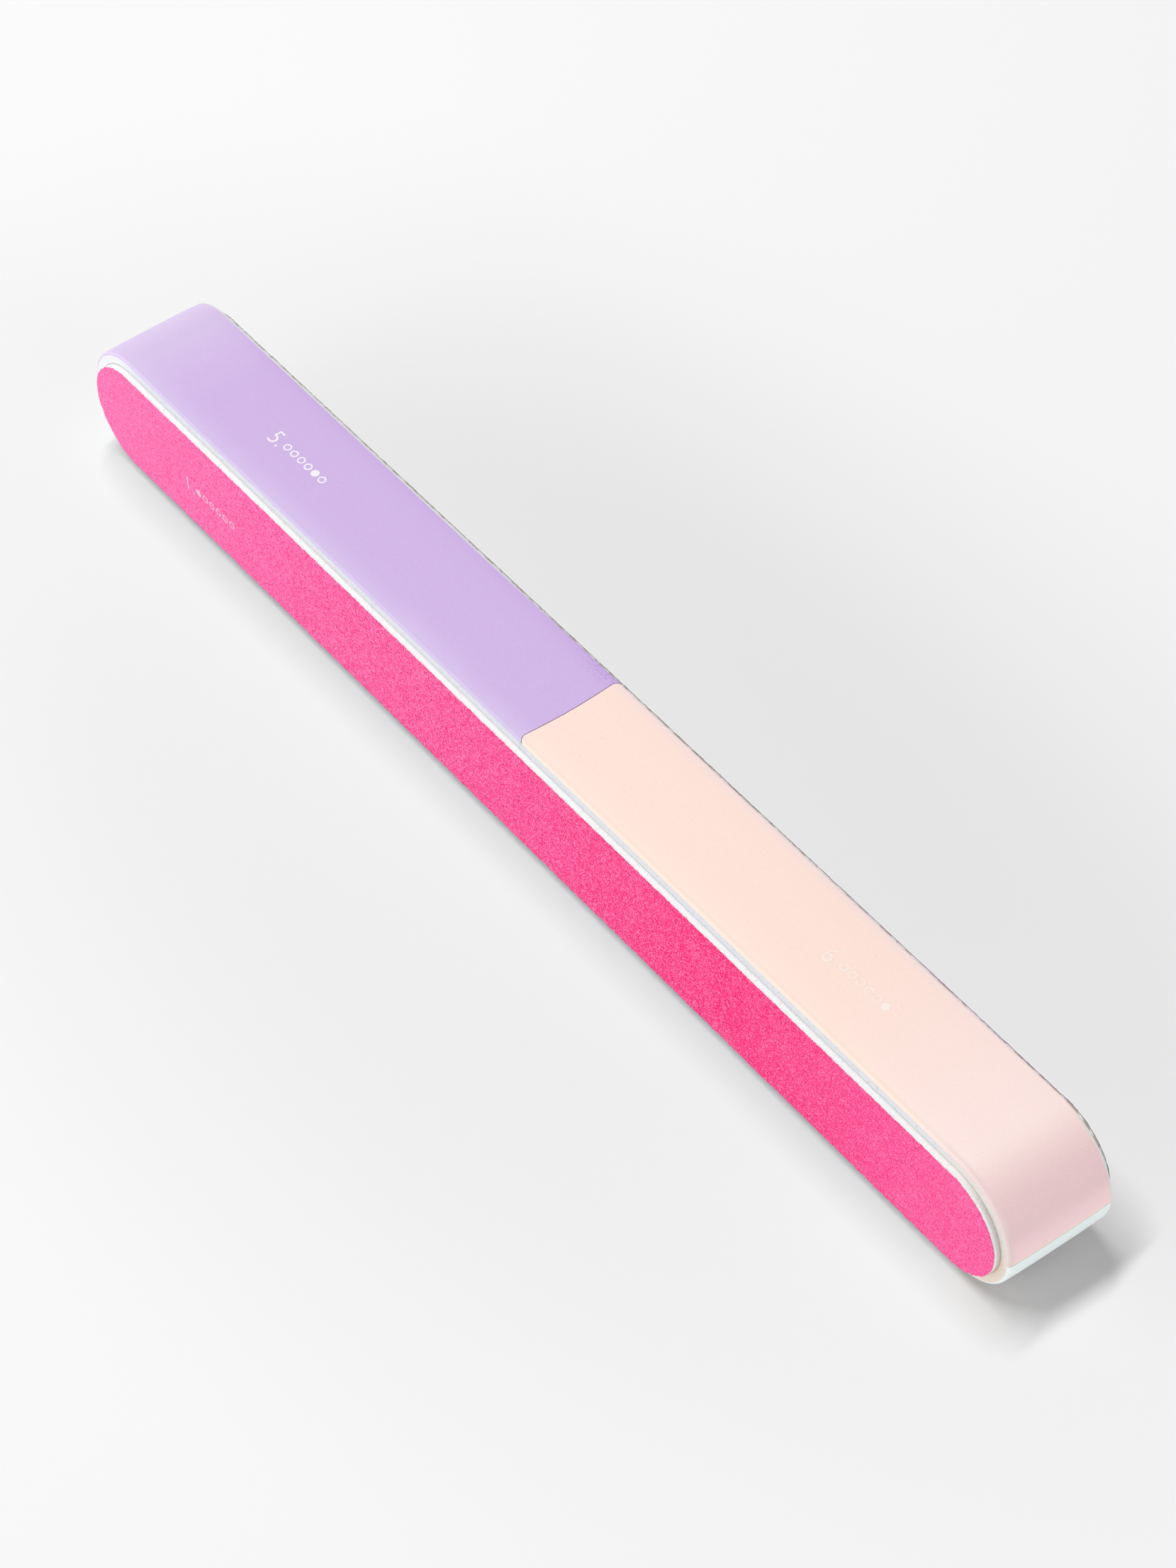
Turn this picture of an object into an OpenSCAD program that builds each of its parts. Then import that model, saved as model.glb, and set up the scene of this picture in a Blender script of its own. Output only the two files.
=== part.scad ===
// Nail buffer block: a foam bar with an abrasive sheet on each flat side
// and four film strips wrapped round its edge.
// X runs along the bar, Y from the front sheet to the rear sheet, Z is up.
// The origin is the middle of the face that the bar lies on.

/* [Foam core] */
// Length of the core, from the tip of one round end to the other
core_length = 174.7; // [80:0.1:240]
// Height of the core, which is also the diameter of its round ends
core_height = 15; // [8:0.5:30]
// Thickness of the foam between the two abrasive sheets
foam_width = 15.6; // [10:0.2:30]

/* [Abrasive sheets] */
// Thickness of an abrasive sheet: paper and grit
sheet_thick = 0.35; // [0.2:0.05:1]
// Thickness of the adhesive that holds an abrasive sheet
sheet_glue = 0.1; // [0.05:0.05:0.3]

/* [Edge strips] */
// Part of the core's edge that each strip leaves bare along both sides
strip_inset = 0.95; // [0.2:0.05:2]
// Thickness of the double-sided tape under a strip
tape_thick = 0.15; // [0.1:0.05:0.4]
// Thickness of a strip's soft foam backing
backing_thick = 1.35; // [0.8:0.05:2.5]
// Thickness of a strip's polishing film
film_thick = 0.15; // [0.05:0.01:0.2]
// Radius of the film where it rolls over the long edges
edge_round = 0.35; // [0.22:0.01:0.6]
// Width of the sloping shoulder beside each long edge
shoulder_run = 4.5; // [1:0.1:5]
// Radius of that shoulder, seen in cross-section
shoulder_round = 100; // [20:1:200]

/* [Butt joints] */
// Gap between the foam and tape of two strips where they meet
butt_gap = 0.04; // [0.02:0.02:0.5]
// Gap between the films of two strips where they meet
film_gap = 0.1; // [0.04:0.02:0.5]
// Place of the upper joint along the bar, from its middle
top_joint = 1.2; // [-20:0.1:20]
// Place of the lower joint along the bar, from its middle
bottom_joint = -1.2; // [-20:0.1:20]
// Angle that the upper strips run down past the tip of a round end
wrap_angle = 4; // [-30:1:60]
// Radius of the right films' corners at those two joints, in plan. The left
// films follow their outline.
corner_round = 1; // [0.2:0.1:3]
// How far the right films' ends are hollow between those corners, in plan
end_hollow = 0.3; // [0.05:0.05:1]

/* [Hidden] */

end_radius = core_height / 2;
end_centre = core_length / 2 - end_radius;
block_width = foam_width + 2 * (sheet_thick + sheet_glue);
strip_width = block_width - 2 * strip_inset;
strip_thick = tape_thick + backing_thick + film_thick;
core_middle = strip_thick + end_radius;
// A cut runs this far past the solid that it cuts
over = 1;
$fn = 96;

// ---- Outlines ----

// Side view of the core: straight above and below, round at both ends
module bar_outline() {
    square([2 * end_centre, core_height], center = true);
    for (side = [-1, 1]) translate([side * end_centre, 0]) circle(r = end_radius);
}

// Slab of the bar's side view, between two places across the bar
module bar_slab(from_y, to_y) {
    translate([0, to_y, core_middle]) rotate([90, 0, 0])
        linear_extrude(height = to_y - from_y) bar_outline();
}

// Cross-section of a strip up to one of its layers. "in" is how far the layer
// lies inside the finished surface, and the same centres serve every layer.
module crowned_section(in) {
    shoulder_x = strip_width / 2 - shoulder_run;
    shoulder_y = strip_thick - shoulder_round;
    roll_x = strip_width / 2 - edge_round;
    reach = shoulder_round - edge_round;
    roll_y = shoulder_y + sqrt(reach * reach - pow(roll_x - shoulder_x, 2));
    meet_x = shoulder_x + (shoulder_round - in) * (roll_x - shoulder_x) / reach;
    difference() {
        intersection() {
            translate([-strip_width / 2 + in, 0])
                square([strip_width - 2 * in, strip_thick - in]);
            union() {
                translate([-shoulder_x, 0]) square([2 * shoulder_x, strip_thick]);
                for (side = [-1, 1])
                    translate([side * shoulder_x, shoulder_y]) circle(r = shoulder_round - in, $fn = 360);
            }
        }
        for (side = [0, 1]) mirror([side, 0]) difference() {
            translate([meet_x, roll_y]) square([edge_round + over, edge_round + over]);
            translate([roll_x, roll_y]) circle(r = edge_round - in, $fn = 48);
        }
    }
}

// Height at which the film ends on a strip's long edges
film_foot = strip_thick - shoulder_round
    + sqrt(pow(shoulder_round - edge_round, 2) - pow(shoulder_run - edge_round, 2));

// Cross-section of the tape
module tape_section() {
    translate([-strip_width / 2, 0]) square([strip_width, tape_thick]);
}

// Cross-section of the backing: square at the foot, crowned under the film
module backing_section() {
    difference() {
        union() {
            translate([-strip_width / 2, 0]) square([strip_width, film_foot]);
            crowned_section(film_thick);
        }
        translate([-strip_width, -over]) square([2 * strip_width, tape_thick + over]);
    }
}

// Cross-section of the film: a skin over the backing that rolls over its edges
module film_section() {
    difference() {
        crowned_section(0);
        crowned_section(film_thick);
        translate([-strip_width, -over]) square([2 * strip_width, film_foot + over]);
    }
}

// ---- Strips ----

// Straight run of a layer over the upper edge, from "from_x" to where the right
// end begins. The children are the layer's cross-section, with its height as Y.
module straight_run(from_x) {
    translate([from_x, 0, end_radius]) rotate([90, 0, 90])
        linear_extrude(height = end_centre - from_x) children();
}

// Layer curled round the right end of the bar, from the top of the end down to
// where it leaves half of "gap". The upper strip passes the tip by wrap_angle.
module end_curl(level, gap) {
    reach = end_radius + strip_thick;
    last_angle = gap / 2 / reach * 180 / PI - level * wrap_angle;
    translate([end_centre, 0, 0]) rotate([90, 0, 0]) difference() {
        rotate([0, 0, -90]) rotate_extrude(angle = 180, $fn = 192)
            translate([end_radius, 0]) rotate([0, 0, -90]) children();
        rotate([0, 0, last_angle]) translate([-reach - over, -2 * reach, -strip_width])
            cube([2 * (reach + over), 2 * reach, 2 * strip_width]);
    }
}

// Moves what is made for the right end of the upper edge to one of the four
// places. "side" is 1 on the right and -1 on the left, and "level" is 1 on the
// upper edge and -1 on the lower edge.
module at_place(side, level) {
    translate([0, 0, core_middle])
        mirror([side > 0 ? 0 : 1, 0, 0]) mirror([0, 0, level > 0 ? 0 : 1]) children();
}

function joint_place(level) = level > 0 ? top_joint : bottom_joint;

// Tape or foam of a strip, cut off square at both of its ends
module square_layer(side, level) {
    at_place(side, level) {
        straight_run(side * joint_place(level) + butt_gap / 2) children();
        end_curl(level, butt_gap) children();
    }
}

// Plan view of a right film's straight run: its end at the joint is hollow,
// between round corners. It is "more" wider all round than the film.
module right_film_plan(joint_x, more) {
    start = joint_x + film_gap / 2 - end_hollow;
    straight = strip_width / 2 - corner_round;
    hollow_round = (straight * straight + end_hollow * end_hollow) / (2 * end_hollow);
    difference() {
        union() {
            translate([start - more, -straight]) square([end_centre + over - start, 2 * straight]);
            translate([start + corner_round, -strip_width])
                square([end_centre + over - start, 2 * strip_width]);
            for (side = [-1, 1]) translate([start + corner_round, side * straight])
                circle(r = corner_round + more, $fn = 48);
        }
        translate([start + end_hollow - hollow_round, 0]) circle(r = hollow_round - more, $fn = 360);
    }
}

module right_film(level) {
    at_place(1, level) {
        intersection() {
            straight_run(joint_place(level) - end_hollow) film_section();
            linear_extrude(height = core_height) right_film_plan(joint_place(level), 0);
        }
        end_curl(level, film_gap) film_section();
    }
}

// Left film, whose end at the joint wraps the round corners of the right one
module left_film(level) {
    at_place(-1, level) {
        difference() {
            straight_run(-joint_place(level) - end_hollow - corner_round) film_section();
            mirror([1, 0, 0]) linear_extrude(height = core_height)
                right_film_plan(joint_place(level), film_gap);
        }
        end_curl(level, film_gap) film_section();
    }
}

// ---- Sub-parts ----

module foam_core() {
    color("whitesmoke") bar_slab(-foam_width / 2, foam_width / 2);
}

module front_sheet_adhesive() {
    color("khaki") bar_slab(-foam_width / 2 - sheet_glue, -foam_width / 2);
}

module front_abrasive_sheet() {
    color("hotpink") bar_slab(-block_width / 2, -block_width / 2 + sheet_thick);
}

module rear_sheet_adhesive() {
    color("khaki") bar_slab(foam_width / 2, foam_width / 2 + sheet_glue);
}

module rear_abrasive_sheet() {
    color("mediumvioletred") bar_slab(block_width / 2 - sheet_thick, block_width / 2);
}

module top_left_tape() {
    color("moccasin") square_layer(-1, 1) tape_section();
}

module top_left_foam_backing() {
    color("ghostwhite") square_layer(-1, 1) backing_section();
}

module top_left_buff_film() {
    color("lavender") left_film(1);
}

module top_right_tape() {
    color("moccasin") square_layer(1, 1) tape_section();
}

module top_right_foam_backing() {
    color("ghostwhite") square_layer(1, 1) backing_section();
}

module top_right_shine_film() {
    color("peachpuff") right_film(1);
}

module bottom_left_tape() {
    color("moccasin") square_layer(-1, -1) tape_section();
}

module bottom_left_foam_backing() {
    color("ghostwhite") square_layer(-1, -1) backing_section();
}

module bottom_left_film() {
    color("lightblue") left_film(-1);
}

module bottom_right_tape() {
    color("moccasin") square_layer(1, -1) tape_section();
}

module bottom_right_foam_backing() {
    color("ghostwhite") square_layer(1, -1) backing_section();
}

module bottom_right_film() {
    color("azure") right_film(-1);
}

foam_core();
front_sheet_adhesive();
front_abrasive_sheet();
rear_sheet_adhesive();
rear_abrasive_sheet();
top_left_tape();
top_left_foam_backing();
top_left_buff_film();
top_right_tape();
top_right_foam_backing();
top_right_shine_film();
bottom_left_tape();
bottom_left_foam_backing();
bottom_left_film();
bottom_right_tape();
bottom_right_foam_backing();
bottom_right_film();
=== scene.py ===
import math

import bpy
from mathutils import Matrix, Vector, noise


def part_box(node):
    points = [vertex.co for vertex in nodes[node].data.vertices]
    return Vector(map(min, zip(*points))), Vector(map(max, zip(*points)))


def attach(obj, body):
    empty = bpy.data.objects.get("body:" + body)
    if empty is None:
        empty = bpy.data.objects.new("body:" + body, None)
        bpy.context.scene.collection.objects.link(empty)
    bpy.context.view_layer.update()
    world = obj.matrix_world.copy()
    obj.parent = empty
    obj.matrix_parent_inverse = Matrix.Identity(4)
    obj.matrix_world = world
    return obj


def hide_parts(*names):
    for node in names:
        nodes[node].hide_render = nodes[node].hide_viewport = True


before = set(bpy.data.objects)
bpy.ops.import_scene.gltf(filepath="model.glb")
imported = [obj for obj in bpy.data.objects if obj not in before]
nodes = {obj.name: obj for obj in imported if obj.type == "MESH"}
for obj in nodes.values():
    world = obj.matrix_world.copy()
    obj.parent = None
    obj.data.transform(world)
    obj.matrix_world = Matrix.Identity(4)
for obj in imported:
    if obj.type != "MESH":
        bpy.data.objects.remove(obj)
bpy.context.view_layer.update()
MM = 0.001


# ---- Camera ----
# A long lens looks down on the bar from the front and its right end, so the
# pink side, the top and the right end all show.
CAMERA_AZIMUTH = math.radians(54.97)
CAMERA_HEIGHT_ANGLE = math.radians(47.80)
CAMERA_ROLL = math.radians(-2.83)
CAMERA_DISTANCE = 612.8 * MM
CAMERA_LENS = 120.5
CAMERA_SENSOR = 36
CAMERA_NEAR_LIMIT = 10 * MM
AIM = Vector((4.86, -0.56, 9.15)) * MM

level = math.cos(CAMERA_HEIGHT_ANGLE)
towards_camera = Vector((
    level * math.sin(CAMERA_AZIMUTH),
    -level * math.cos(CAMERA_AZIMUTH),
    math.sin(CAMERA_HEIGHT_ANGLE),
))
bpy.ops.object.select_all(action="DESELECT")
bpy.ops.object.camera_add(location=AIM + towards_camera * CAMERA_DISTANCE)
camera = bpy.context.object
camera.name = "camera"
turn = towards_camera.to_track_quat("Z", "Y").to_matrix() @ Matrix.Rotation(CAMERA_ROLL, 3, "Z")
camera.rotation_euler = turn.to_euler()
camera.data.lens = CAMERA_LENS
camera.data.sensor_width = CAMERA_SENSOR
camera.data.clip_start = CAMERA_NEAR_LIMIT
bpy.context.scene.camera = camera


# ---- Floor ----
# A table top of white paper that ends well behind the bar. In a soft oval right round the bar the paper is
# painted a shade greyer, painted shade.
FLOOR_SIZE = 2.4
FLOOR_PAINTED_SHADE_COLOUR = (0.862, 0.862, 0.864)
FLOOR_AWAY_COLOUR = (0.955, 0.955, 0.955)
# The oval of painted shade, in millimetres: its middle, how far it is drawn in along the bar, and where
# the painted grey starts and ends.
OVAL_X = -8.0
OVAL_Y = -2.0
OVAL_SQUEEZE = 0.625
OVAL_FADE = (30.0, 95.0)


class Socket:
    """A shader socket that arithmetic can be written with."""

    def __init__(self, graph, link):
        self.graph = graph
        self.link = link

    def math(self, operation, *others):
        inputs = dict(enumerate((self, *others)))
        return self.graph.node("ShaderNodeMath", {"operation": operation}, inputs)

    def __add__(self, other):
        return self.math("ADD", other)

    def __radd__(self, other):
        return self.math("ADD", other)

    def __sub__(self, other):
        return self.math("SUBTRACT", other)

    def __rsub__(self, other):
        return self.graph.node("ShaderNodeMath", {"operation": "SUBTRACT"}, {0: other, 1: self})

    def __mul__(self, other):
        return self.math("MULTIPLY", other)

    def __rmul__(self, other):
        return self.math("MULTIPLY", other)

    def __truediv__(self, other):
        return self.math("DIVIDE", other)

    def __neg__(self):
        return self.math("MULTIPLY", -1.0)

    def __abs__(self):
        return self.math("ABSOLUTE")

    def above(self, low, high):
        """0 below low, 1 above high, and a smooth rise between them."""
        settings = {"interpolation_type": "SMOOTHSTEP"}
        inputs = {"Value": self, "From Min": low, "From Max": high}
        return self.graph.node("ShaderNodeMapRange", settings, inputs)


class Finish:
    """A node material with one Principled shader."""

    def __init__(self, name, **uniform):
        self.material = bpy.data.materials.new(name)
        self.material.use_nodes = True
        self.tree = self.material.node_tree
        self.shader = self.tree.nodes["Principled BSDF"]
        for socket, value in uniform.items():
            self.shader.inputs[socket.replace("_", " ")].default_value = value
        self.where = self.node("ShaderNodeTexCoord", output="Object")

    def node(self, kind, settings=None, inputs=None, output=0):
        """Any node: its settings are set first, then the values or links of its sockets."""
        made = self.tree.nodes.new(kind)
        for key, value in (settings or {}).items():
            if key == "stops":
                ramp = made.color_ramp
                while len(ramp.elements) < len(value):
                    ramp.elements.new(1.0)
                for element, (place, tone) in zip(ramp.elements, value):
                    element.position = place
                    element.color = (*tone, 1.0)
            else:
                setattr(made, key, value)
        for key, value in (inputs or {}).items():
            if isinstance(value, Socket):
                self.tree.links.new(value.link, made.inputs[key])
            elif isinstance(value, tuple) and made.inputs[key].type == "RGBA":
                made.inputs[key].default_value = (*value, 1.0)
            else:
                made.inputs[key].default_value = value
        return Socket(self, made.outputs[output])

    def place(self, axes):
        """Object coordinates in millimetres, along each of the axes that are asked for."""
        split = self.tree.nodes.new("ShaderNodeSeparateXYZ")
        self.tree.links.new(self.where.link, split.inputs[0])
        return [Socket(self, split.outputs[axis]) / MM for axis in axes]

    def noise(self, size, detail=2.0, rough=0.5, seed=0.0):
        """Noise from 0 to 1 whose blotches are about "size" metres across."""
        settings = {"noise_dimensions": "4D"}
        inputs = {
            "Vector": self.where,
            "W": seed,
            "Scale": 1.0 / size,
            "Detail": detail,
            "Roughness": rough,
        }
        return self.node("ShaderNodeTexNoise", settings, inputs)

    def blend(self, share, first, second):
        """A colour that goes from the first to the second as share goes from 0 to 1."""
        settings = {"data_type": "RGBA", "clamp_factor": True}
        return self.node("ShaderNodeMix", settings, {0: share, 6: first, 7: second}, output=2)

    def layered(self, base, *layers):
        """A base colour with others laid over it in turn, each with its share from 0 to 1."""
        for share, tone in layers:
            base = self.blend(share, base, tone)
        return base

    def feed(self, **varying):
        """Link what varies over the surface to the shader's sockets."""
        for socket, value in varying.items():
            self.tree.links.new(value.link, self.shader.inputs[socket.replace("_", " ")])

    def bump(self, height, strength, distance):
        """Relief: height from 0 to 1 stands up to "distance" metres."""
        inputs = {"Height": height, "Strength": strength, "Distance": distance}
        self.feed(Normal=self.node("ShaderNodeBump", None, inputs))

    def on(self, *objects):
        """Give these objects this one material."""
        for thing in objects:
            thing.data.materials.clear()
            thing.data.materials.append(self.material)


bpy.ops.object.select_all(action="DESELECT")
bpy.ops.mesh.primitive_plane_add(size=FLOOR_SIZE)
floor = bpy.context.object
floor.name = "floor"
floor_finish = Finish("white_table", Roughness=0.9)
x, y = floor_finish.place("XY")
along = (x - OVAL_X) * OVAL_SQUEEZE
across = y - OVAL_Y
away = (along * along + across * across).math("SQRT").above(*OVAL_FADE)
# The greyer paper near the bar is painted shade.
floor_finish.feed(Base_Color=floor_finish.blend(away, FLOOR_PAINTED_SHADE_COLOUR, FLOOR_AWAY_COLOUR))
floor_finish.on(floor)


# ---- Light ----
# A high strip lamp over the left end throws the short shadow past the right
# end. A wide low lamp in front, a weak one beyond the right end and the soft
# light of the room fill in, and a pale wall shows behind the table.
ROOM_STRENGTH = 0.32
WALL_STRENGTH = 0.80
# Angles are in degrees, distances and sizes in metres.
HIGH_LAMP = {"azimuth": -72.0, "height": 75.0, "distance": 1.2, "size": (0.90, 0.09), "light": 0.62}
FRONT_LAMP = {"azimuth": -22.0, "height": 13.0, "distance": 1.5, "size": (2.60, 0.60), "light": 0.54}
RIGHT_LAMP = {"azimuth": 96.0, "height": 6.0, "distance": 1.5, "size": (0.90, 0.28), "light": 0.25}

world = bpy.data.worlds.new("room")
bpy.context.scene.world = world
world.use_nodes = True
room_nodes = world.node_tree.nodes
room_links = world.node_tree.links
room_light = room_nodes["Background"]
room_light.inputs["Color"].default_value = (1.0, 1.0, 1.0, 1.0)
# The wall looks pale where it is seen or mirrored, but gives no more light than the room.
rays = room_nodes.new("ShaderNodeLightPath")
seen = rays.outputs["Is Camera Ray"]
for ray in ("Is Glossy Ray", "Is Transmission Ray"):
    either = room_nodes.new("ShaderNodeMath")
    either.operation = "MAXIMUM"
    room_links.new(seen, either.inputs[0])
    room_links.new(rays.outputs[ray], either.inputs[1])
    seen = either.outputs["Value"]
strength = room_nodes.new("ShaderNodeMapRange")
strength.inputs["To Min"].default_value = ROOM_STRENGTH
strength.inputs["To Max"].default_value = WALL_STRENGTH
room_links.new(seen, strength.inputs["Value"])
room_links.new(strength.outputs["Result"], room_light.inputs["Strength"])


def soft_lamp(name, azimuth, height, distance, size, light):
    """A lamp that lights a surface facing it as brightly as "light" times full white."""
    around, up = math.radians(azimuth), math.radians(height)
    outward = Vector((
        math.cos(up) * math.sin(around),
        -math.cos(up) * math.cos(around),
        math.sin(up),
    ))
    bpy.ops.object.light_add(type="AREA", location=outward * distance)
    lamp = bpy.context.object
    lamp.name = name
    lamp.rotation_euler = outward.to_track_quat("Z", "Y").to_euler()
    lamp.data.shape = "RECTANGLE"
    lamp.data.size, lamp.data.size_y = size
    # A lamp of P watts at distance d lights what faces it by P / (pi d)^2.
    lamp.data.energy = light * math.pi ** 2 * distance ** 2


soft_lamp("high_lamp", **HIGH_LAMP)
soft_lamp("front_lamp", **FRONT_LAMP)
soft_lamp("right_lamp", **RIGHT_LAMP)

bpy.context.scene.view_settings.view_transform = "Standard"


# ---- Foam core ----
# White closed-cell foam, sawn to shape. Only a narrow band of its edge shows between the sheets and the
# strips, with fine cut cells, and it is painted greyer towards the right end, painted shade.
CORE_CELL_SIZE = 0.30 * MM
CORE_PIT_SIZE = 0.28 * MM
CORE_PITTED = (0.68, 0.78)
# Along the bar, in millimetres from its middle, as in every finish below.
CORE_SHADED_END = (80, 86)


def colour(red, green, blue):
    """A colour as it looks on a screen, 0 to 255, as the linear one that shaders take."""
    def linear(value):
        value = value / 255
        return value / 12.92 if value <= 0.04045 else ((value + 0.055) / 1.055) ** 2.4
    return (linear(red), linear(green), linear(blue))


core_finish = Finish("core_foam", Roughness=0.85)
[x] = core_finish.place("X")
cells = core_finish.noise(CORE_CELL_SIZE, detail=3.0)
pits = core_finish.noise(CORE_PIT_SIZE, detail=0.0, seed=3.0).above(*CORE_PITTED)
core_finish.feed(Base_Color=core_finish.layered(
    colour(242, 242, 242),
    (cells, colour(232, 232, 233)),
    # Painted shade: greyer at the right end, which faces away from the lamps.
    (x.above(*CORE_SHADED_END) * 0.6, colour(196, 196, 196)),
    (pits * 0.3, colour(186, 184, 182)),
))
core_finish.bump(cells - pits, 0.5, 0.05 * MM)
core_finish.on(nodes["foam_core"])


# ---- Sheet adhesive ----
# A thin coat of contact adhesive behind each abrasive sheet, off-white at its
# cut edge.
GLUE_BLOTCH_SIZE = 3.0 * MM

glue_finish = Finish("sheet_adhesive", Roughness=0.6)
blotches = glue_finish.noise(GLUE_BLOTCH_SIZE, detail=3.0)
glue_finish.feed(Base_Color=glue_finish.blend(blotches, colour(240, 240, 240), colour(232, 230, 229)))
glue_finish.bump(blotches, 0.3, 0.05 * MM)
glue_finish.on(nodes["front_sheet_adhesive"], nodes["rear_sheet_adhesive"])


# ---- Abrasive sheets ----
# Heavy paper with a coat of coarse grit on its outer face, hot pink on the
# front and magenta on the rear. The die tears the coat as it cuts the sheet,
# so the coat's edge is ragged and the paper shows behind it.
GRAIN_STEP = 0.25 * MM
GRAIN_HEIGHT = 0.055 * MM
GRAIN_SHARE = 0.6
GRAINS_PER_MM = (3.1, 1.3)
TEARS_PER_MM = (2.9, 0.7)
SLOW_TEAR_SHARE = 0.3
COAT_THICK = 0.13 * MM
COAT_INSET = 0.05 * MM
FRONT_TEAR = 0.19 * MM
REAR_TEAR = 0.07 * MM
# The grid's end columns stop just short of the ends, where they would meet.
LAST_COLUMN = math.radians(86)
# The grid runs from -1 to 1, and past this a vertex is on its rim.
GRID_RIM = 0.9999


def grit_sheet(name, node, outward, seed, tear):
    """A closed sheet in the place of a CAD node.

    "outward" is -1 where it faces the front and 1 where it faces the rear.
    """
    low, high = (Vector(corner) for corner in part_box(node))
    middle = (low + high) / 2
    radius = (high.z - low.z) / 2
    straight = high.x - middle.x - radius
    outer_y, inner_y = (low.y, high.y) if outward < 0 else (high.y, low.y)
    run = straight + radius * LAST_COLUMN

    bpy.ops.object.select_all(action="DESELECT")
    bpy.ops.mesh.primitive_grid_add(
        x_subdivisions=round(2 * run / GRAIN_STEP),
        y_subdivisions=round(2 * radius / GRAIN_STEP),
        size=2,
        rotation=(-outward * math.pi / 2, 0, 0),
    )
    sheet = bpy.context.object
    sheet.name = sheet.data.name = name
    bpy.ops.object.transform_apply(location=True, rotation=True, scale=True)

    for vertex in sheet.data.vertices:
        # The grid's columns close up round the two ends.
        along, up = vertex.co.x * run, vertex.co.z
        turn = max(0.0, abs(along) - straight) / radius
        centre_x = math.copysign(min(abs(along), straight), along)
        round_x = math.copysign(radius * math.sin(turn), along)
        at = Vector((centre_x + round_x, 0, radius * math.cos(turn) * up))
        spot = Vector((at.x, at.z, seed * MM)) / MM
        fine, coarse = (noise.noise(spot * rate) for rate in GRAINS_PER_MM)
        grain = GRAIN_SHARE * fine + GRAIN_SHARE * coarse
        if abs(vertex.co.x) > GRID_RIM or abs(up) > GRID_RIM:
            spoke = at - Vector((centre_x, 0, 0))
            fast, slow = (noise.noise(spot * rate) for rate in TEARS_PER_MM)
            ragged = fast + SLOW_TEAR_SHARE * slow
            at += spoke.normalized() * (ragged * tear - COAT_INSET)
        vertex.co = (middle.x + at.x, outer_y + outward * GRAIN_HEIGHT * grain, middle.z + at.z)

    def push_rim(to_y):
        """Extrude the open rim and lay it flat at a place across the bar."""
        bpy.ops.mesh.extrude_region_move(TRANSFORM_OT_translate={"value": (0, 0, 0)})
        bpy.ops.transform.translate(value=(0, to_y, 0))
        bpy.ops.transform.resize(value=(1, 0, 1), center_override=(0, to_y, 0))

    # The coat's wall, a step out to the clean outline, and the paper's wall.
    bpy.ops.object.mode_set(mode="EDIT")
    bpy.ops.mesh.select_mode(type="EDGE")
    bpy.ops.mesh.select_all(action="DESELECT")
    bpy.ops.mesh.select_non_manifold()
    push_rim(outer_y - outward * COAT_THICK)
    push_rim(outer_y - outward * COAT_THICK)
    bpy.ops.object.mode_set(mode="OBJECT")
    for vertex in sheet.data.vertices:
        if vertex.select:
            centre_x = max(-straight, min(straight, vertex.co.x - middle.x)) + middle.x
            spoke = Vector((vertex.co.x - centre_x, 0, vertex.co.z - middle.z)).normalized() * radius
            vertex.co.x, vertex.co.z = centre_x + spoke.x, middle.z + spoke.z
    bpy.ops.object.mode_set(mode="EDIT")
    push_rim(inner_y)
    bpy.ops.mesh.edge_face_add()
    bpy.ops.mesh.select_all(action="SELECT")
    bpy.ops.mesh.normals_make_consistent(inside=False)
    bpy.ops.object.mode_set(mode="OBJECT")
    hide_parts(node)
    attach(sheet, "root")
    return sheet


# Depths in millimetres: how much of each cut edge has the coat's colour. Stray
# grains make the border with the paper uneven.
FRONT_COAT_DEPTH = 0.13
REAR_COAT_DEPTH = 0.075
STRAY_SIZE = 0.20 * MM
STRAY_SHARE = 0.45
BORDER_WIDTH = 1.3


def coat_share(finish, y, outer_y, depth):
    """1 on the coat and 0 on the paper behind it. The three numbers are in millimetres."""
    stray = finish.noise(STRAY_SIZE, detail=1.0, seed=21.0)
    uneven = abs(y - outer_y) + stray * depth * STRAY_SHARE
    return 1 - uneven.above(depth, depth * BORDER_WIDTH)


front_sheet = grit_sheet("front_grit_sheet", "front_abrasive_sheet", outward=-1, seed=3.0, tear=FRONT_TEAR)
# The sheet throws no pink on the table.
front_sheet.visible_diffuse = False

# The pink goes from pale at the left end, 0, to deepest right of the middle,
# and pales again towards the right end, 1.
PINK_STOPS = [
    (0.00, colour(255, 126, 188)),
    (0.22, colour(255, 109, 178)),
    (0.50, colour(255, 84, 155)),
    (0.72, colour(255, 44, 125)),
    (1.00, colour(255, 103, 170)),
]
PINK_HALF_RUN = 90
PINK_GRAIN_SIZE = 0.17 * MM
PINK_CLUMP_SIZE = 0.45 * MM
PINK_DRIFT_SIZE = 5.0 * MM
DARK_GRAIN_SIZE = 0.16 * MM
BRIGHT_GRAIN_SIZE = 0.13 * MM
# Where in its noise each kind of grain starts and is full.
PALE_DRIFTS = (0.5, 0.8)
PALE_GRAINS = (0.48, 0.70)
DEEP_GAPS = (0.32, 0.50)
DEEP_CLUMPS = (0.50, 0.70)
DARK_GRAINS = (0.68, 0.76)
BRIGHT_GRAINS = (0.74, 0.82)
PAPER_FIBRES = (0.35, 0.65)
# The grit stands out most along the middle, where the sheet is freshest.
WORN_ENDS = (25, 85)
WORN_SHARE = 0.38

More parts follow.
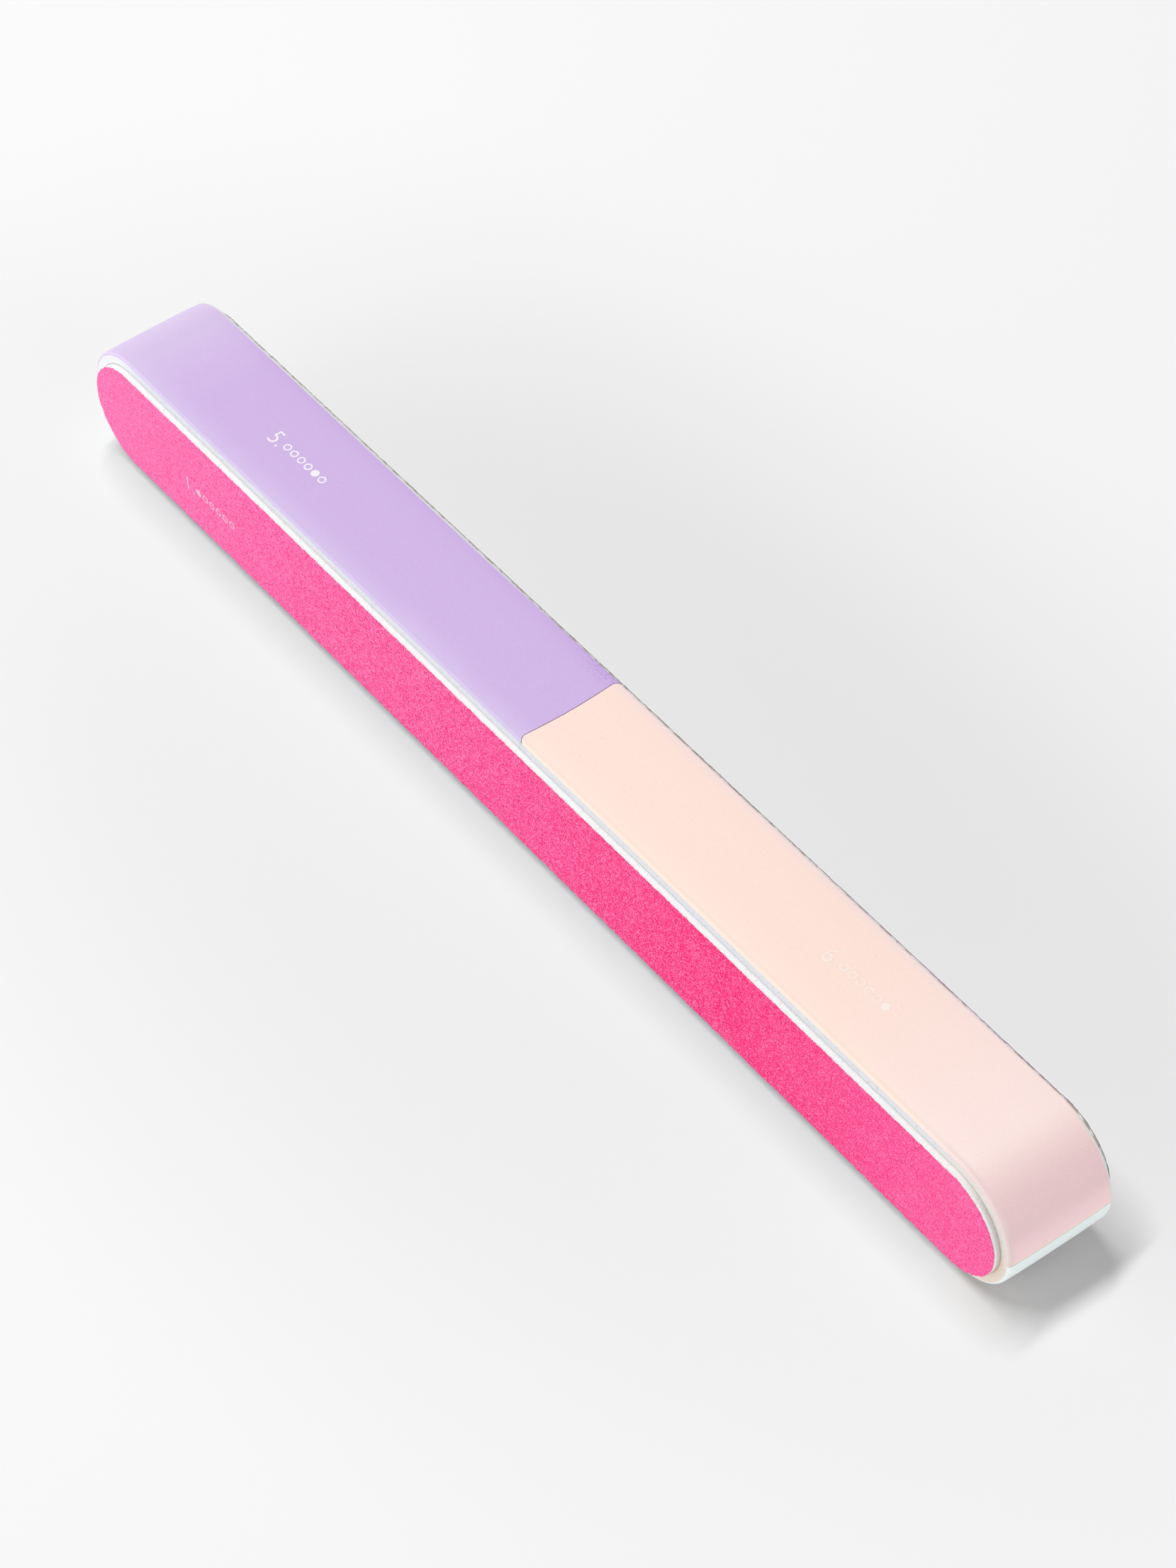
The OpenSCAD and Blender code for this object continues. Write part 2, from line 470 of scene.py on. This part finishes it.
pink_finish = Finish("pink_grit", Roughness=0.8, Specular_IOR_Level=0.12)
x, y = pink_finish.place("XY")
fade = (x + PINK_HALF_RUN) / (2 * PINK_HALF_RUN)
grains = pink_finish.noise(PINK_GRAIN_SIZE, detail=1.0, rough=0.6)
clumps = pink_finish.noise(PINK_CLUMP_SIZE, detail=2.0, seed=5.0)
drifts = pink_finish.noise(PINK_DRIFT_SIZE, detail=3.0, seed=11.0)
dark_grains = pink_finish.noise(DARK_GRAIN_SIZE, detail=0.0, seed=9.0).above(*DARK_GRAINS)
bright_grains = pink_finish.noise(BRIGHT_GRAIN_SIZE, detail=0.0, seed=14.0).above(*BRIGHT_GRAINS)
fresh = 1 - abs(x).above(*WORN_ENDS) * WORN_SHARE
pink_coat = pink_finish.layered(
    pink_finish.node("ShaderNodeValToRGB", {"stops": PINK_STOPS}, {0: fade}),
    (drifts.above(*PALE_DRIFTS) * 0.3, colour(255, 128, 184)),
    (fresh * grains.above(*PALE_GRAINS) * 0.9, colour(255, 150, 200)),
    (fresh * (1 - grains.above(*DEEP_GAPS)) * 0.95, colour(244, 26, 108)),
    (fresh * clumps.above(*DEEP_CLUMPS) * 0.5, colour(246, 40, 118)),
    (fresh * dark_grains, colour(180, 10, 76)),
    (fresh * bright_grains, colour(255, 206, 228)),
)
fibres = clumps.above(*PAPER_FIBRES)
pink_paper = pink_finish.blend(fibres, colour(240, 240, 241), colour(236, 230, 226))
outer_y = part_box("front_abrasive_sheet")[0][1] / MM
coat = coat_share(pink_finish, y, outer_y, FRONT_COAT_DEPTH)
pink_finish.feed(Base_Color=pink_finish.blend(coat, pink_paper, pink_coat))
pink_finish.bump(grains, 0.5, 0.08 * MM)
pink_finish.on(front_sheet)

rear_sheet = grit_sheet("rear_grit_sheet", "rear_abrasive_sheet", outward=1, seed=41.0, tear=REAR_TEAR)
# Nor does this one throw its colour.
rear_sheet.visible_diffuse = False

REAR_GRAIN_SIZE = 0.28 * MM
REAR_CLUMP_SIZE = 1.1 * MM
# Along the rim the grit is rubbed through to a brown black, greyer towards the
# left end, with a stretch of violet left towards the right one.
RIM_WORN = (0.1, 0.5)
GREY_TO_LEFT = (0, 70)
VIOLET_STARTS = (50, 78)
VIOLET_ENDS = (78, 84)
VIOLET_STRAY = 30

rear_finish = Finish("magenta_grit", Roughness=0.8, Specular_IOR_Level=0.15)
x, y, z = rear_finish.place("XYZ")
grains = rear_finish.noise(REAR_GRAIN_SIZE, detail=2.0, rough=0.7)
clumps = rear_finish.noise(REAR_CLUMP_SIZE, detail=2.0, seed=5.0)
violet = (x + clumps * VIOLET_STRAY).above(*VIOLET_STARTS) * (1 - x.above(*VIOLET_ENDS))
worn_coat = rear_finish.layered(
    colour(58, 46, 46),
    (grains.above(0.35, 0.60), colour(136, 112, 106)),
    ((-x).above(*GREY_TO_LEFT) * 0.6, colour(150, 148, 148)),
    (violet * 0.7, colour(150, 70, 150)),
)
magenta_coat = rear_finish.layered(
    colour(120, 44, 104),
    (grains.above(0.35, 0.65), colour(178, 84, 152)),
    (clumps.above(0.5, 0.75) * 0.4, colour(96, 50, 62)),
)
low, high = (Vector(corner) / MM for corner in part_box("rear_abrasive_sheet"))
end_radius = (high.z - low.z) / 2
beyond = (abs(x) - (high.x - end_radius)).math("MAXIMUM", 0.0)
rise = z - (low.z + high.z) / 2
to_rim = end_radius - (beyond * beyond + rise * rise).math("SQRT")
rear_coat = rear_finish.blend(to_rim.above(*RIM_WORN), worn_coat, magenta_coat)
rear_paper = rear_finish.blend(clumps.above(0.4, 0.6), colour(226, 226, 226), colour(176, 166, 158))
coat = coat_share(rear_finish, y, high.y, REAR_COAT_DEPTH)
rear_finish.feed(Base_Color=rear_finish.blend(coat, rear_paper, rear_coat))
rear_finish.bump(grains, 0.5, 0.08 * MM)
rear_finish.on(rear_sheet)


# ---- Tapes ----
# Clear double-sided tape under each strip, seen as a hairline that is grey
# along the bar and amber where the tape is stretched round the right end.
TAPE_SMEAR_SIZE = 6.0 * MM
TAPE_STRETCHED = (72, 88)
TAPE_STRAY = 8

tape_finish = Finish("strip_tape", Roughness=0.5)
[x] = tape_finish.place("X")
smears = tape_finish.noise(TAPE_SMEAR_SIZE, detail=4.0)
tape_finish.feed(Base_Color=tape_finish.layered(
    colour(196, 196, 198),
    (smears.above(0.4, 0.7), colour(206, 194, 176)),
    ((x + smears * TAPE_STRAY).above(*TAPE_STRETCHED), colour(226, 192, 158)),
))
tape_finish.bump(smears, 0.2, 0.05 * MM)
tape_finish.on(*(nodes[name] for name in nodes if name.endswith("_tape")))


# ---- Foam backings ----
# The soft layer of each strip, pale blue-grey where its cut side shows. Round
# the right end it is warmer on its side and whiter low down.
BACKING_CELL_SIZE = 0.30 * MM
BACKING_PORE_SIZE = 0.35 * MM
WHITER_LEFT = (76, 84)
WHITER_RIGHT = (80, 85)
WHITER_BELOW = (7, 12)
WARM_RIGHT = (74, 82)
WARM_SIDE = (6.0, 6.5)
# In the joint between two films it is painted a dark brownish shade, painted shade.
JOINT_X = 1.0
JOINT_SHADE_HALF_WIDTH = (0.5, 1.2)
JOINT_SHADE_REACH = (3.5, 6.0)
# Its cut pores show less towards the ends.
PORES_FADE = (70, 80)

backing_finish = Finish("backing_foam", Roughness=0.8)
x, y, z = backing_finish.place("XYZ")
cells = backing_finish.noise(BACKING_CELL_SIZE, detail=3.0)
pores = backing_finish.noise(BACKING_PORE_SIZE, detail=0.0, seed=6.0).above(0.68, 0.76)
low_right = x.above(*WHITER_RIGHT) * (1 - z.above(*WHITER_BELOW))
right_side = x.above(*WARM_RIGHT) * (-y).above(*WARM_SIDE)
joint_shade = 1 - abs(x - JOINT_X).above(*JOINT_SHADE_HALF_WIDTH)
backing_finish.feed(Base_Color=backing_finish.layered(
    colour(232, 234, 239),
    (cells, colour(214, 217, 224)),
    ((-x).above(*WHITER_LEFT), colour(238, 240, 243)),
    (low_right, colour(250, 249, 248)),
    (right_side, colour(229, 225, 221)),
    (right_side * low_right, colour(240, 225, 212)),
    # Painted shade in the joint between the films.
    (joint_shade * (1 - abs(y).above(*JOINT_SHADE_REACH)), colour(150, 96, 108)),
    (pores * (0.5 - abs(x).above(*PORES_FADE) * 0.35), colour(176, 180, 190)),
))
backing_finish.bump(cells - pores, 0.5, 0.06 * MM)
backing_finish.on(*(nodes[name] for name in nodes if name.endswith("_foam_backing")))


# ---- Polishing films ----
# A satin film on each strip, each of its own colour and fineness. It is rolled over the long edges, and
# along the front one it is painted a little paler, a painted sheen.
FILM_GLOSS = {"Roughness": 0.48, "Specular_IOR_Level": 0.4}
FILM_MOTTLE_SIZE = 7.0 * MM
FILM_DUST_SIZE = 0.16 * MM
FILM_SPECK_SIZE = 0.20 * MM
# From the front edge, over this stretch, the painted sheen gives way.
FILM_SHEEN_FRONT = (-8.5, -3.0)
FILM_STRAY = 2


def film_tint(film, pale, speck, deep, *zones):
    """The colour of a film: "deep", with a pale colour along its front edge, a painted sheen, and in its
    bloom.

    A zone is the share of a colour that shows over the deep one, and that colour.
    """
    [y] = film.place("Y")
    mottle = film.noise(FILM_MOTTLE_SIZE, detail=4.0)
    bloom = film.noise(FILM_DUST_SIZE, detail=2.0, rough=0.7, seed=2.0)
    specks = film.noise(FILM_SPECK_SIZE, detail=0.0, seed=7.0).above(0.79, 0.86)
    film.bump(bloom, 0.25, 0.02 * MM)
    return film.layered(
        # The pale colour along the front edge is a painted sheen.
        pale,
        ((y + mottle * FILM_STRAY).above(*FILM_SHEEN_FRONT), deep),
        *zones,
        (bloom.above(0.50, 0.75) * 0.32, pale),
        ((1 - bloom.above(0.28, 0.50)) * 0.12, speck),
        (specks * 0.35, speck),
    )


# Where the two upper films are rolled over their long edges.
front_edge = -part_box("top_left_buff_film")[0][1] / MM
rear_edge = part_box("top_left_buff_film")[1][1] / MM
ROLLED_FRONT = (front_edge - 0.8, front_edge - 0.2)
WIDE_ROLLED_FRONT = (front_edge - 1.0, front_edge - 0.2)
ROLLED_REAR = (rear_edge - 0.38, rear_edge - 0.33)

# The lavender film is painted deeper along its rear edge, painted shade, and paler towards the left end,
# painted light, and by the joint it is rubbed on its rear half.
SHADED_REAR_EDGE = (5.0, 7.2)
LIT_LEFT_END = (66, 88)
WHITE_ROLL_LEFT = (5, 30)
RUBBED_X = (-9, 0)
RUBBED_Y = (4.5, 7.0)
RUBBED_GRAIN_SIZE = 0.25 * MM

lavender = Finish("lavender_film", **FILM_GLOSS)
x, y = lavender.place("XY")
tint = film_tint(
    lavender, colour(219, 202, 237), colour(156, 128, 188), colour(208, 180, 230),
    ((-y).above(*ROLLED_FRONT), colour(208, 190, 229)),
    # Painted shade along the rear edge.
    (y.above(*SHADED_REAR_EDGE) * 0.45, colour(198, 166, 226)),
    # Painted light towards the lit left end.
    ((-x).above(*LIT_LEFT_END), colour(220, 201, 235)),
    # The white foam shows through where the film is rolled over the rear edge.
    (y.above(*ROLLED_REAR) * (-x).above(*WHITE_ROLL_LEFT), colour(226, 226, 228)),
)
rubbed = x.above(*RUBBED_X) * y.above(*RUBBED_Y)
rubbed_grains = lavender.noise(RUBBED_GRAIN_SIZE, detail=1.0, seed=17.0).above(0.50, 0.66)
lavender.feed(Base_Color=lavender.blend(rubbed * rubbed_grains * 0.7, tint, colour(158, 122, 206)))
lavender.on(nodes["top_left_buff_film"])

# The peach film is painted greyer along its rear edge, painted shade, and is lighter before the curl.
# Round the curl it is painted darker, painted shade, and light again low down, painted light, to its cream
# end. Where it is rolled over its front edge it is creamier, a painted sheen, duller towards the right
# end.
SHADED_REAR_GREY = (5.6, 7.4)
BEFORE_CURL = (52, 80)
CURL_SHADE = (81, 87.3)
CURLED = (80, 84)
PAINTED_LIGHT_BELOW = (10.5, 14.0)
CREAM_BELOW = (8.6, 8.9)
DULL_ROLL_RIGHT = (72, 82)
WHITE_ROLL_RIGHT = (81, 85)

peach = Finish("peach_film", **FILM_GLOSS)
x, y, z = peach.place("XYZ")
curl = x.above(*CURLED)
dull_roll = x.above(*DULL_ROLL_RIGHT)
rolled_front = (-y).above(*WIDE_ROLLED_FRONT)
peach.feed(Base_Color=film_tint(
    peach, colour(255, 233, 219), colour(214, 170, 158), colour(255, 227, 216),
    # Painted shade along the rear edge.
    (y.above(*SHADED_REAR_GREY) * 0.5, colour(238, 224, 230)),
    (x.above(*BEFORE_CURL), colour(255, 231, 226)),
    # Painted shade round the curl, which faces away from the lamps.
    (x.above(*CURL_SHADE), colour(240, 206, 209)),
    # Painted light low on the curl.
    (curl * (1 - z.above(*PAINTED_LIGHT_BELOW)), colour(254, 218, 222)),
    (curl * (1 - z.above(*CREAM_BELOW)), colour(255, 238, 208)),
    # A painted sheen along the rolled front edge, duller towards the right end.
    (rolled_front * (1 - dull_roll), colour(248, 225, 211)),
    (rolled_front * dull_roll, colour(239, 215, 213)),
    (y.above(*ROLLED_REAR) * x.above(*WHITE_ROLL_RIGHT), colour(228, 230, 230)),
))
peach.on(nodes["top_right_shine_film"])

blue = Finish("blue_film", **FILM_GLOSS)
blue.feed(Base_Color=film_tint(
    blue, colour(200, 222, 234), colour(130, 162, 180), colour(186, 214, 230),
))
blue.on(nodes["bottom_left_film"])

white = Finish("white_film", **FILM_GLOSS)
white.feed(Base_Color=film_tint(
    white, colour(244, 252, 252), colour(180, 194, 194), colour(240, 250, 250),
))
white.on(nodes["bottom_right_film"])

# These films throw none of their colour on the table.
for name in ("top_right_shine_film", "bottom_left_film", "bottom_right_film"):
    nodes[name].visible_diffuse = False


# ---- Step marks ----
# Each face has its step number and a row of six small rings in thin white
# ink, with the step's own ring filled.
MARK_HEIGHT = 2.3 * MM
MARK_THICK = 0.02 * MM
DIGIT_WEIGHT = -0.03 * MM
# The height of a numeral as a share of the type's size.
NUMERAL_SHARE = 0.70
RING_COUNT = 6
RING_SIDES = 24
RING_RADIUS = 0.56 * MM
RING_LINE = 0.19 * MM
RING_PITCH = 1.45 * MM
FIRST_RING = 3.2 * MM


def step_mark(step, at, right, up):
    """A flat mark on the face at "at", reading towards "right" with its tops towards "up"."""
    bpy.ops.object.select_all(action="DESELECT")
    bpy.ops.object.text_add()
    numeral = bpy.context.object
    numeral.data.body = f"{step}."
    numeral.data.size = MARK_HEIGHT / NUMERAL_SHARE
    numeral.data.offset = DIGIT_WEIGHT
    numeral.data.extrude = MARK_THICK / 2
    bpy.ops.object.convert(target="MESH")
    mark = bpy.context.object
    pieces = [mark]
    for ring in range(RING_COUNT):
        bpy.ops.object.select_all(action="DESELECT")
        bpy.ops.mesh.primitive_cylinder_add(
            vertices=RING_SIDES,
            radius=RING_RADIUS,
            depth=MARK_THICK,
            location=(FIRST_RING + ring * RING_PITCH, MARK_HEIGHT / 2, 0),
        )
        disc = bpy.context.object
        if ring + 1 != step:
            # The two flat faces are inset, and a hole is bridged between them.
            bpy.ops.object.mode_set(mode="EDIT")
            bpy.ops.mesh.select_all(action="DESELECT")
            bpy.ops.object.mode_set(mode="OBJECT")
            for face in disc.data.polygons:
                face.select = abs(face.normal.z) > 0.9
            bpy.ops.object.mode_set(mode="EDIT")
            bpy.ops.mesh.inset(thickness=RING_LINE)
            bpy.ops.mesh.bridge_edge_loops()
            bpy.ops.object.mode_set(mode="OBJECT")
        pieces.append(disc)
    bpy.ops.object.select_all(action="DESELECT")
    for piece in pieces:
        piece.select_set(True)
    bpy.context.view_layer.objects.active = mark
    bpy.ops.object.join()
    mark.name = mark.data.name = f"step_mark_{step}"
    outward = right.cross(up)
    turn = Matrix((right, up, outward)).transposed().to_4x4()
    mark.matrix_world = Matrix.Translation(at + outward * MARK_THICK / 2) @ turn
    bpy.ops.object.transform_apply(location=True, rotation=True, scale=True)
    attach(mark, "root")
    return mark


ACROSS = Vector((1, 0, 0))
REARWARD = Vector((0, 1, 0))
UPWARD = Vector((0, 0, 1))
# A mark on a sheet lies among the tops of the grains.
front_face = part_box("front_abrasive_sheet")[0][1] - GRAIN_HEIGHT / 4
rear_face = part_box("rear_abrasive_sheet")[1][1] + GRAIN_HEIGHT / 4
top_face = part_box("top_left_buff_film")[1][2]
# Each mark starts at the foot of its numeral.
SHEET_MARK_X = 68.0 * MM
SHEET_MARK_Z = 7.0 * MM

mark_1 = step_mark(1, Vector((-SHEET_MARK_X, front_face, SHEET_MARK_Z)), ACROSS, UPWARD)
mark_2 = step_mark(2, Vector((SHEET_MARK_X, rear_face, SHEET_MARK_Z)), -ACROSS, UPWARD)
mark_3 = step_mark(3, Vector((-58.9 * MM, 1.3 * MM, 0)), ACROSS, -REARWARD)
mark_4 = step_mark(4, Vector((48.8 * MM, 1.3 * MM, 0)), ACROSS, -REARWARD)
mark_5 = step_mark(5, Vector((-58.6 * MM, -1.6 * MM, top_face)), ACROSS, REARWARD)
mark_6 = step_mark(6, Vector((48.1 * MM, -0.9 * MM, top_face)), ACROSS, REARWARD)

FILM_INK_PATCH = 0.5 * MM
THIN_INK_PATCH = 0.7 * MM
GRIT_INK_PATCH = 0.30 * MM

film_ink = Finish("film_ink", Roughness=0.6)
patches = film_ink.noise(FILM_INK_PATCH, detail=2.0)
film_ink.feed(Base_Color=film_ink.blend(patches, colour(252, 250, 254), colour(240, 234, 242)))
film_ink.bump(patches, 0.2, 0.01 * MM)
film_ink.on(mark_3, mark_4, mark_5)

# On the peach film the ink has worn so thin that it is only a little paler.
thin_ink = Finish("thin_ink", Roughness=0.55)
patches = thin_ink.noise(THIN_INK_PATCH, detail=3.0, seed=4.0).above(0.35, 0.65)
thin_ink.feed(Base_Color=thin_ink.blend(patches, colour(253, 240, 234), colour(255, 233, 223)))
thin_ink.bump(patches, 0.2, 0.01 * MM)
thin_ink.on(mark_6)

# On the grit the ink only catches on the grains.
grit_ink = Finish("grit_ink", Roughness=0.7)
worn = grit_ink.noise(GRIT_INK_PATCH, detail=2.0, seed=8.0)
grit_ink.feed(
    Base_Color=grit_ink.blend(worn, colour(255, 208, 228), colour(255, 180, 212)),
    Alpha=0.55 + worn.above(0.30, 0.50) * 0.4,
)
grit_ink.bump(worn, 0.3, 0.03 * MM)
grit_ink.on(mark_1, mark_2)
